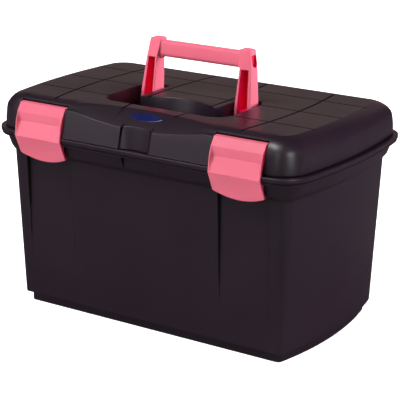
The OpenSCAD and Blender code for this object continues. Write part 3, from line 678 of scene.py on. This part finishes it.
def latch_rows(x):
    """Closed side outline of a latch at a place across its width."""
    a = abs(x)
    field = 1 - ramp(a, *FIELD_EDGE)
    round_in = 0.0
    if a > LATCH_HALF - SIDE_R:
        round_in = SIDE_R - math.sqrt(max(SIDE_R ** 2 - (a - LATCH_HALF + SIDE_R) ** 2, 0.0))
    knee_y, knee_z = LATCH_SIDE[-1]
    lip_z = TAB_Z - TAB_DROOP * (1 - (x / LATCH_HALF) ** 2)
    lip_y = knee_y + TAB_RUN * (knee_z - lip_z) / TAB_FALL

    corners = LATCH_SIDE + [(lip_y, lip_z)]
    outer = []
    for k, ((y0, z0), (y1, z1)) in enumerate(zip(corners, corners[1:])):
        size = math.hypot(y1 - y0, z1 - z0)
        ny, nz = (z1 - z0) / size, (y0 - y1) / size
        for t in LATCH_T[k]:
            sink = latch_sink(k, t, x, field) + round_in
            outer.append((lerp(y0, y1, t) - ny * sink, lerp(z0, z1, t) - nz * sink))
    lip = [(lip_y + run, lip_z + rise + share * round_in) for run, rise, share in TAB_LIP]

    def inner_y(z):
        return TAB_BACK_Y + TAB_RUN * (knee_z - z) / TAB_FALL - round_in

    inner = [(inner_y(z), z) for z in (lerp(lip_z + TAB_BACK_RISE, TAB_BACK_TOP, t) for t in TAB_BACK_T)]
    inner += [(inner_y(ROOT_Z) + ROOT_SHIFT, HOOK_Z)] + HOOK_TIP + [(inner_y(z), z) for z in HOOK_ABOVE]
    inner += [(y - share * round_in, z) for y, z, share in FIELD_BACK]
    barrel = []
    for i in range(BARREL_N + 1):
        b = math.radians(lerp(BARREL_FROM, BARREL_TO, i / BARREL_N))
        barrel.append((LATCH_Y + BARREL_R * math.cos(b), LATCH_Z + (BARREL_R - round_in * 0.5) * math.sin(b)))
    return outer + lip + inner + barrel


def build_latch(name, side):
    rings = [[(side * LATCH_X + x, y, z) for y, z in latch_rows(x)] for x in LATCH_XS]
    return solid(name, *loft_data(rings), angle=28)


def in_latch_painted_shade(c, n):
    """True for a face on a latch's side, where shade is painted, from its middle and normal."""
    return abs(abs(c.x) - LATCH_X) > LATCH_HALF - SIDE_SLACK and abs(n.x) > SIDE_STEEP


# Handle

# Pivot of the legs, then the radius of their feet
PIVOT_Y, PIVOT_Z, FOOT_R = 2.5, 228.0, 10.5
# Right leg by height: inner and outer side, front and back at the inner and at the outer side, channel wall
LEG = [
    (228.0, 51.0, 71.0, -10.5, 9.4, -9.0, 9.0, 3.4), (240.0, 51.5, 70.3, -9.6, 9.6, -7.8, 9.4, 3.2),
    (277.0, 53.0, 67.1, -3.6, 13.2, -2.2, 12.2, 2.1), (284.0, 52.0, 66.0, -1.9, 13.3, -1.0, 12.6, 2.1),
    (291.0, 50.6, 64.9, -0.4, 13.2, 0.1, 12.9, 2.1), (298.5, 49.9, 63.8, 0.6, 13.0, 0.9, 13.0, 2.1),
]
# Radii of a leg's front and back corners and steps on each, then the drop of its crown at the sides
LEG_FRONT_R, LEG_BACK_R, LEG_CORNER_N, CROWN_DROP = 0.7, 1.6, 3, 0.6
# Channel: its back wall, edge, flare of its sides and extra wall outside; depth where there is none,
# share of depth in its lower part, lowest and highest level
CHANNEL_BACK, CHANNEL_EDGE, CHANNEL_FLARE, CHANNEL_OUT = 2.2, 0.35, 0.15, 0.9
CHANNEL_LEAST, SHALLOW, CHANNEL_LOW, CHANNEL_TOP = 0.03, 0.22, 222.0, 277.3
# Levels of a leg's rings: foot, shallow and deep channel, plain head, then crown as (height, inset) rows
FOOT_LEVELS = (219.4, 219.7, 220.4, 221.8)
SHALLOW_LEVELS = (CHANNEL_LOW, 225, 228, 231, 233.7)
DEEP_LEVELS = (233.9, 240, 246, 254, 262, 270, CHANNEL_TOP)
HEAD_LEVELS = (277.5, 279, 287, 294)
CROWN = ((297.3, 0), (298.0, 0.2), (298.35, 0.6), (298.5, 1.3))
# Slot in the outer face: depth, reach of its cutter, middle, half width, steps of its round foot;
# level it is measured at, levels of its foot's centre, its sides' ends and its top, cut of its corners
SLOT_DEEP, SLOT_REACH, SLOT_Y, SLOT_R, SLOT_N = 2.6, 5, 6.3, 4.4, 12
SLOT_MID_Z, SLOT_FOOT_Z, SLOT_SIDE_Z, SLOT_TOP_Z, SLOT_EDGE = 285, 283.4, 291.7, 292.3, 0.6
# Limits of the slot and channel, where shade is painted: slack, then distance from the leg's outer face, front
# and back
HOLLOW_SLACK, SLOT_INSIDE, CHANNEL_FRONT, CHANNEL_REAR = 0.1, 0.3, 0.5, 1


def leg_at(z):
    return [table_at(z, [(row[0], row[k]) for row in LEG]) for k in range(1, 8)]


SLOT_FLOOR_X = leg_at(SLOT_MID_Z)[1] - SLOT_DEEP


def leg_loop(z, inset=0.0, channel=0.0, crown=False):
    """Level outline of a right leg: a channel that is open to the front."""
    xi, xo, *ends, wall = leg_at(z)
    if z < PIVOT_Z:
        reach = math.sqrt(max(FOOT_R ** 2 - (z - PIVOT_Z) ** 2, 0.5)) / FOOT_R
        ends = [lerp(PIVOT_Y, y, reach) for y in ends]
    front_in, back_in, front_out, back_out = ends
    xi, xo, front_in, front_out = xi + inset, xo - inset, front_in + inset, front_out + inset
    back_in, back_out = back_in - inset, back_out - inset
    slope = (front_out - front_in) / (xo - xi)
    fr, br = LEG_FRONT_R, min(LEG_BACK_R, (back_out - front_out) / 3)
    points = []
    for x, y, r, quarters in ((xo - fr, front_out + fr, fr, -1), (xo - br, back_out - br, br, 0),
                              (xi + br, back_in - br, br, 1), (xi + fr, front_in + fr, fr, 2)):
        points += arc(x, y, r, quarters * QUARTER, QUARTER, LEG_CORNER_N)
    deep = max((min(back_in, back_out) - CHANNEL_BACK - front_in) * channel, CHANNEL_LEAST)
    edge = min(CHANNEL_EDGE, deep / 3)
    x0, x1 = xi + wall, xo - wall - CHANNEL_OUT
    f0, f1 = x0 + CHANNEL_FLARE, x1 - CHANNEL_FLARE
    for x, d in ((x0 - edge, 0), (x0, edge), (f0, deep - edge), (f0 + edge, deep),
                 (f1 - edge, deep), (f1, deep - edge), (x1, edge), (x1 + edge, 0)):
        points.append((x, front_in + slope * (x - xi) + d))
    mid, half = (xi + xo) / 2, (xo - xi) / 2
    return [(x, y, z - (((x - mid) / half) ** 2 * CROWN_DROP if crown else 0)) for x, y in points]


def build_leg(name, side):
    rings = [leg_loop(z) for z in FOOT_LEVELS]
    rings += [leg_loop(z, 0, SHALLOW) for z in SHALLOW_LEVELS]
    rings += [leg_loop(z, 0, 1.0) for z in DEEP_LEVELS]
    rings += [leg_loop(z) for z in HEAD_LEVELS]
    rings += [leg_loop(z, inset, 0, True) for z, inset in CROWN]
    verts, faces = loft_data(rings)
    obj = solid(name, [(side * x, y, z) for x, y, z in verts], faces)
    near, far = SLOT_Y - SLOT_R, SLOT_Y + SLOT_R
    slot_side = arc(SLOT_Y, SLOT_FOOT_Z, SLOT_R, math.pi, math.pi, SLOT_N)
    slot_side += [(far, SLOT_SIDE_Z), (far - SLOT_EDGE, SLOT_TOP_Z), (near + SLOT_EDGE, SLOT_TOP_Z),
                  (near, SLOT_SIDE_Z)]
    slot_x = (SLOT_FLOOR_X, leg_at(SLOT_MID_Z)[1] + SLOT_REACH)
    slot = [[(side * x, y, z) for y, z in slot_side] for x in slot_x]
    cut(obj, solid("cutter", *loft_data(slot)))
    shade(obj)
    return obj


def leg_painted_shade(c, n):
    """1 for a face in a leg's channel, 2 for one in its slot, both with painted shade, and 0 for others, from
    its middle.
    """
    x = abs(c.x)
    xi, xo, front_in, back_in, front_out, back_out, wall = leg_at(c.z)
    front = lerp(front_in, front_out, (x - xi) / (xo - xi))
    slack = HOLLOW_SLACK
    if (abs(c.y - SLOT_Y) < SLOT_R + slack and SLOT_FLOOR_X - slack < x < xo - SLOT_INSIDE
            and SLOT_FOOT_Z - SLOT_R - 2 * slack < c.z < SLOT_TOP_Z + slack):
        return 2
    if (CHANNEL_LOW - 2 * slack < c.z < CHANNEL_TOP + 3 * slack and xi + wall - slack < x < xo - wall + slack
            and front + CHANNEL_FRONT < c.y < min(back_in, back_out) - CHANNEL_REAR):
        return 1
    return 0


# Grip: half length, front and back, top, underside, its drop at the legs and the run of that drop
GRIP_HALF, GRIP_FRONT, GRIP_BACK, GRIP_TOP = 52.2, 0.7, 12.25, 295.2
GRIP_LOW, GRIP_DROP, GRIP_DROP_RUN = 277.4, 2.6, 6
# Corner radii on top and underneath, points on a corner, then rings from an end inwards and the end's inset
GRIP_TOP_R, GRIP_LOW_FRONT_R, GRIP_LOW_BACK_R, GRIP_CORNER_N = 2.6, 4.8, 4.6, 7
GRIP_ENDS, GRIP_MIDDLE, GRIP_END_INSET = [0.35, 1.2, 2.2, 3.4, 5.0, 9.0], [-20, 0, 20], 0.3


def grip_loop(x, inset):
    """Upright outline of the grip, whose underside runs down into the legs."""
    low = GRIP_LOW - GRIP_DROP * max(1 - (GRIP_HALF - abs(x)) / GRIP_DROP_RUN, 0.0) ** 2
    points = []
    for y, z, r, quarters in ((GRIP_BACK, low, GRIP_LOW_BACK_R, -1), (GRIP_BACK, GRIP_TOP, GRIP_TOP_R, 0),
                              (GRIP_FRONT, GRIP_TOP, GRIP_TOP_R, 1), (GRIP_FRONT, low, GRIP_LOW_FRONT_R, 2)):
        cy = y - r if y == GRIP_BACK else y + r
        cz = z - r if z == GRIP_TOP else z + r
        points += arc(cy, cz, r - inset, quarters * QUARTER, QUARTER, GRIP_CORNER_N)
    return [(x, y, z) for y, z in points]


def build_grip():
    """Bar between the legs, more rounded underneath than on top."""
    xs = [e - GRIP_HALF for e in GRIP_ENDS] + GRIP_MIDDLE + [GRIP_HALF - e for e in reversed(GRIP_ENDS)]
    rings = [grip_loop(-GRIP_HALF, GRIP_END_INSET)] + [grip_loop(x, 0) for x in xs]
    rings.append(grip_loop(GRIP_HALF, GRIP_END_INSET))
    return solid("handle_bar", *loft_data(rings))


# Badge: half width, half height, middle, points along one edge, then its crown as (size, rise) rows
BADGE_HALF_W, BADGE_HALF_H, BADGE_Y, BADGE_N = 22.0, 6.5, -99.0, 28
BADGE_CROWN = ((1.0, -0.8), (1.0, 0.12), (0.985, 0.3), (0.955, 0.38), (0.8, 0.45), (0.5, 0.5), (0.15, 0.52))


def build_badge():
    """Blank lens-shaped inlay that follows the front bevel."""
    lens_r = (BADGE_HALF_W ** 2 + BADGE_HALF_H ** 2) / (2 * BADGE_HALF_H)

    def loop(scale, rise):
        edge = []
        for i in range(2 * BADGE_N):
            k = i if i < BADGE_N else 2 * BADGE_N - i
            x = lerp(-BADGE_HALF_W, BADGE_HALF_W, k / BADGE_N)
            v = math.sqrt(lens_r ** 2 - x * x) - (lens_r - BADGE_HALF_H)
            v = max(v, 0.0) * (-1 if i < BADGE_N else 1)
            x, v = x * scale, v * scale
            y = BADGE_Y + v * math.cos(DIP_SLOPE)
            edge.append((x, y - rise * math.sin(DIP_SLOPE), dip_z(x, y) + rise * math.cos(DIP_SLOPE)))
        return edge

    return solid("badge_lens", *loft_data([loop(scale, rise) for scale, rise in BADGE_CROWN]), angle=40)


# Materials

def preset(node, values):
    """Sets named input sockets of a node to constants."""
    for name, value in values.items():
        node.inputs[name].default_value = value


def wire(tree, node, sources):
    """Links a source to each named input socket of a node."""
    for name, source in sources.items():
        tree.links.new(source, node.inputs[name])


def material(name, build):
    mat = bpy.data.materials.new(name)
    mat.use_nodes = True
    tree = mat.node_tree
    tree.nodes.clear()
    out = tree.nodes.new("ShaderNodeOutputMaterial")
    bsdf = tree.nodes.new("ShaderNodeBsdfPrincipled")
    wire(tree, out, {"Surface": bsdf.outputs["BSDF"]})
    build(tree, bsdf)
    return mat


def noise(tree, scale, detail=3.0, rough=0.55, stretch=None):
    vector = tree.nodes.new("ShaderNodeTexCoord").outputs["Object"]
    node = tree.nodes.new("ShaderNodeTexNoise")
    preset(node, {"Scale": scale, "Detail": detail, "Roughness": rough})
    if stretch:
        mapping = tree.nodes.new("ShaderNodeMapping")
        preset(mapping, {"Scale": stretch})
        wire(tree, mapping, {"Vector": vector})
        vector = mapping.outputs["Vector"]
    wire(tree, node, {"Vector": vector})
    return node.outputs["Fac"]


def tones(tree, fac, low, high, start=0.3):
    """Colour from low to high over the middle of a noise, from start to as far below 1."""
    node = tree.nodes.new("ShaderNodeValToRGB")
    for element, pos, color in zip(node.color_ramp.elements, (start, 1 - start), (low, high)):
        element.position = pos
        element.color = (*color, 1)
    wire(tree, node, {"Fac": fac})
    return node.outputs["Color"]


def spread(tree, fac, low, high):
    """Value from low to high over the middle of a noise."""
    node = tree.nodes.new("ShaderNodeMapRange")
    preset(node, {"From Min": 0.3, "From Max": 0.7, "To Min": low, "To Max": high})
    wire(tree, node, {"Value": fac})
    return node.outputs["Result"]


def bump(tree, height, strength, distance, before=None):
    node = tree.nodes.new("ShaderNodeBump")
    preset(node, {"Strength": strength, "Distance": distance})
    wire(tree, node, {"Height": height})
    if before:
        wire(tree, node, {"Normal": before})
    return node.outputs["Normal"]


# Black and pink plastic: drift of tone as (scale, detail), scale of the grain, fall and rise of roughness,
# coarse and fine bump as (strength, distance), then flow marks as noise takes them, if any
BLACK_LOOK = ((14, 4), 2600, (0.04, 0.04), (0.05, 0.0015), (0.10, 0.00008), (9, 3, 0.5, (1, 1, 3.5)))
PINK_LOOK = ((22, 3), 1800, (0.04, 0.05), (0.02, 0.0004), (0.06, 0.00006), None)


def plastic(name, look, low, high, rough, gloss=0.45):
    """Moulded plastic with a fine satin grain and a faint drift of tone and gloss."""
    drift, grain, (fall, rise), coarse, fine, flow = look

    def build(tree, bsdf):
        cloud = noise(tree, *drift)
        marks = noise(tree, *flow) if flow else cloud
        wire(tree, bsdf, {
            "Base Color": tones(tree, cloud, low, high, start=0.25),
            "Roughness": spread(tree, marks, rough - fall, rough + rise),
            "Normal": bump(tree, noise(tree, grain, detail=2), *fine, before=bump(tree, cloud, *coarse)),
        })
        preset(bsdf, {"Specular IOR Level": gloss})

    return material(name, build)


def navy_gloss(tree, bsdf):
    """Plain glossy navy inlay with a faint depth variation."""
    cloud = noise(tree, scale=60, detail=3)
    wire(tree, bsdf, {
        "Base Color": tones(tree, cloud, (0.007, 0.008, 0.052), (0.011, 0.013, 0.075)),
        "Roughness": spread(tree, cloud, 0.16, 0.24),
        "Normal": bump(tree, cloud, strength=0.05, distance=0.0004),
    })
    preset(bsdf, {"Coat Weight": 0.25, "Coat Roughness": 0.08})


def drawn_steel(tree, bsdf):
    """Steel wire with fine drawing lines along it."""
    lines = noise(tree, scale=900, detail=3, rough=0.6, stretch=(0.03, 1, 1))
    wire(tree, bsdf, {
        "Base Color": tones(tree, lines, (0.44, 0.45, 0.47), (0.60, 0.61, 0.63)),
        "Roughness": spread(tree, lines, 0.24, 0.38),
        "Normal": bump(tree, lines, strength=0.12, distance=0.00005),
    })
    preset(bsdf, {"Metallic": 1.0})


# Darkest and lightest tone, roughness and gloss of each plastic
BLACK = plastic("black_plastic", BLACK_LOOK, (0.0124, 0.0058, 0.0114), (0.0152, 0.0074, 0.0138), 0.36)
# Painted shade: a darker, duller black for the side walls of the hollows, the scoop and the trough
BLACK_PAINTED_SHADE = plastic(
    "black_plastic_painted_shade", BLACK_LOOK, (0.0022, 0.0012, 0.0020), (0.0030, 0.0018, 0.0028), 0.6, 0.1)
PINK = plastic("pink_plastic", PINK_LOOK, (0.605, 0.108, 0.167), (0.625, 0.115, 0.177), 0.36)
PINK_HANDLE = plastic(
    "pink_plastic_handle", PINK_LOOK, (0.715, 0.134, 0.200), (0.745, 0.143, 0.211), 0.46, 0.12)
# Painted shade: deep red for the legs' channels, shade with the pink's red bounce in it
PINK_PAINTED_SHADE_CHANNEL = plastic("pink_plastic_shaded", PINK_LOOK, (0.86, 0.003, 0.115), (0.90, 0.005, 0.130), 0.45)
# Painted shade: dark red for the slot in each leg
PINK_PAINTED_SHADE_SLOT = plastic("pink_plastic_painted_shade_slot", PINK_LOOK, (0.62, 0.003, 0.045), (0.66, 0.005, 0.055), 0.45)
# Painted shade: dark red for the latch sides, the shade of the gap beside each latch
PINK_PAINTED_SHADE_SIDE = plastic("pink_plastic_painted_shade_side", PINK_LOOK, (0.36, 0.006, 0.040), (0.42, 0.010, 0.055), 0.40)
NAVY = material("navy_gloss", navy_gloss)
STEEL = material("drawn_steel", drawn_steel)


def dress(obj, body, mats, nodes=()):
    """Gives a piece its materials and the body it rides on, and hides the nodes it stands for."""
    obj.data.materials.clear()
    for mat in mats:
        obj.data.materials.append(mat)
    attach(obj, body)
    if nodes:
        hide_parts(*nodes)


def paint(obj, test):
    """Gives each face the material that the test numbers, from its middle in millimetres and its normal."""
    for poly in obj.data.polygons:
        poly.material_index = int(test(poly.center / MM, poly.normal))


# The object

bin_shell = build_bin()
dress(bin_shell, "bin_body", [BLACK, BLACK_PAINTED_SHADE], ["bin"])
# Painted shade on the side walls of the hollows and the scoop
paint(bin_shell, in_bin_painted_shade)
lid_shell = build_lid()
dress(lid_shell, "lid_body", [BLACK, BLACK_PAINTED_SHADE], ["lid"])
# Painted shade on the trough's side walls
paint(lid_shell, in_notch_painted_shade)
ears, arms = build_hinge()
dress(ears, "bin_body", [BLACK])
dress(arms, "lid_body", [BLACK])
for side, word in ((-1, "left"), (1, "right")):
    latch = build_latch(f"latch_plate_{word}", side)
    dress(latch, f"latch_{word}_body", [PINK, PINK_PAINTED_SHADE_SIDE], [f"latch_{word}"])
    # Painted shade on the latch's sides
    paint(latch, in_latch_painted_shade)
    leg = build_leg(f"handle_channel_{word}", side)
    dress(leg, "handle_body", [PINK_HANDLE, PINK_PAINTED_SHADE_CHANNEL, PINK_PAINTED_SHADE_SLOT], [f"handle_leg_{word}"])
    # Painted shade in the leg's channel and slot
    paint(leg, leg_painted_shade)
dress(build_grip(), "handle_body", [PINK_HANDLE], ["handle_grip"])
dress(build_badge(), "lid_body", [NAVY], ["badge_plate"])

# Nodes whose CAD shape stays
KEPT = {"tray": BLACK, "tray_divider": BLACK, "tray_handle": PINK,
        "hinge_pin_left": STEEL, "hinge_pin_right": STEEL}
for node, mat in KEPT.items():
    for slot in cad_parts[node].material_slots:
        slot.material = mat


# Studio, in metres

# Camera: bearing, elevation and roll in degrees, distance, lens, sensor, far clip, shift across and up
AZ, EL, ROLL, DIST = 33.077, 17.364, 0.491, 1.733338
FOCAL, SENSOR, CLIP = 138.19, 36, 50
SHIFT = (0.003412, 0.117014)
# Floor: half size, level and glow for the camera; then the point that the lights face and the room's light
FLOOR_HALF, FLOOR_Z, FLOOR_GLOW = 12, -0.0005, 0.75
LIGHT_AIM = Vector((0, 0, 0.13))
ROOM_LIGHT, WHITE = 0.02, (1, 1, 1, 1)
# Softboxes: name, bearing, elevation, distance, width and height, watts, then what sets one apart.
# A fill light isn't mirrored, and a shine light shows only as a highlight.
FILL, SHINE = {"gloss": False}, {"fill": False}
LIGHTS = [
    ("key", -28, 58, 2.6, (1.4, 0.8), 58, {}),
    ("key_low", -32, 21, 2.6, (1.2, 0.5), 3.6, {}),
    ("front", -33, 11, 2.6, (1.2, 0.9), 1.4, {}),
    ("front_fill", -46, 10, 2.6, (1.6, 0.6), 33, FILL),
    ("corner_left", 8, 18, 2.6, (0.35, 1.8), 8, SHINE),
    ("corner_right", 60, 18, 2.6, (0.7, 1.8), 28, SHINE),
    ("corner_fill", 66, 20, 2.6, (0.8, 0.8), 9, FILL),
    ("right", 122, 13, 2.5, (1.4, 1.1), 88, FILL),
    ("right_high", 115, 40, 2.6, (1.2, 1.0), 17, FILL),
    ("back_fill", 195, 20, 2.8, (2.0, 1.2), 24, FILL),
    ("left_fill", 280, 14, 2.8, (1.6, 1.2), 18, FILL),
    ("back", 205, 20, 2.8, (3.0, 1.0), 3.0, {"color": (1.0, 0.75, 0.63)}),
]


def bearing(az, el):
    """Direction towards a bearing and elevation in degrees: bearing 0 is in front, 90 on the right."""
    a, e = math.radians(az), math.radians(el)
    return Vector((math.sin(a) * math.cos(e), -math.cos(a) * math.cos(e), math.sin(e)))


def add_camera():
    a, r = math.radians(AZ), math.radians(ROLL)
    back = bearing(AZ, EL)
    right = Vector((math.cos(a), math.sin(a), 0))
    up = back.cross(right)
    right, up = right * math.cos(r) + up * math.sin(r), up * math.cos(r) - right * math.sin(r)
    data = bpy.data.cameras.new("camera")
    data.lens = FOCAL
    data.sensor_width = SENSOR
    data.sensor_fit = "HORIZONTAL"
    data.clip_end = CLIP
    cam = bpy.data.objects.new("camera", data)
    place = Matrix((right, up, back)).transposed().to_4x4()
    place.translation = back * DIST + right * SHIFT[0] + up * SHIFT[1]
    cam.matrix_world = place
    bpy.context.scene.collection.objects.link(cam)
    bpy.context.scene.camera = cam


def softbox(name, az, el, dist, size, power, color=(1, 1, 1), gloss=True, fill=True):
    """Area light that faces the box's middle."""
    away = bearing(az, el)
    data = bpy.data.lights.new(name, "AREA")
    data.shape = "RECTANGLE"
    data.size, data.size_y = size
    data.energy = power
    data.color = color
    obj = bpy.data.objects.new(name, data)
    obj.visible_glossy, obj.visible_diffuse = gloss, fill
    obj.location = away * dist + LIGHT_AIM
    obj.rotation_euler = away.to_track_quat("Z", "Y").to_euler()
    bpy.context.scene.collection.objects.link(obj)


def pale_floor(tree, bsdf):
    """Pale floor that the gloss mirrors dark, as the dim room round the real box is."""
    tone = noise(tree, scale=3, detail=2)
    pale = tones(tree, tone, (0.90, 0.90, 0.90), (0.92, 0.92, 0.92))
    mix, path = tree.nodes.new("ShaderNodeMix"), tree.nodes.new("ShaderNodeLightPath")
    mix.data_type = "RGBA"
    wire(tree, mix, {"Factor": path.outputs["Is Glossy Ray"], "A": pale})
    preset(mix, {"B": (0.06, 0.06, 0.06, 1)})
    glow = tree.nodes.new("ShaderNodeMath")
    glow.operation = "MULTIPLY"
    wire(tree, glow, {0: path.outputs["Is Camera Ray"]})
    preset(glow, {1: FLOOR_GLOW})
    wire(tree, bsdf, {"Base Color": mix.outputs["Result"], "Emission Strength": glow.outputs["Value"]})
    preset(bsdf, {"Roughness": 0.9, "Emission Color": WHITE})


def add_floor():
    s, z = FLOOR_HALF, FLOOR_Z
    mesh = bpy.data.meshes.new("floor")
    mesh.from_pydata([(-s, -s, z), (s, -s, z), (s, s, z), (-s, s, z)], [], [(0, 1, 2, 3)])
    floor = bpy.data.objects.new("floor", mesh)
    bpy.context.scene.collection.objects.link(floor)
    mesh.materials.append(material("pale_floor", pale_floor))


def add_world():
    """White backdrop for the camera, and a dim room for everything else."""
    world = bpy.data.worlds.new("world")
    world.use_nodes = True
    tree = world.node_tree
    shown, lit = tree.nodes["Background"], tree.nodes.new("ShaderNodeBackground")
    preset(shown, {"Color": WHITE})
    preset(lit, {"Color": WHITE, "Strength": ROOM_LIGHT})
    mix, path = tree.nodes.new("ShaderNodeMixShader"), tree.nodes.new("ShaderNodeLightPath")
    wire(tree, mix, {"Fac": path.outputs["Is Camera Ray"]})
    wire(tree, mix, {1: lit.outputs["Background"], 2: shown.outputs["Background"]})
    wire(tree, tree.nodes["World Output"], {"Surface": mix.outputs["Shader"]})
    bpy.context.scene.world = world
    bpy.context.scene.view_settings.view_transform = "Standard"


add_camera()
add_floor()
for *place, extra in LIGHTS:
    softbox(*place, **extra)
add_world()
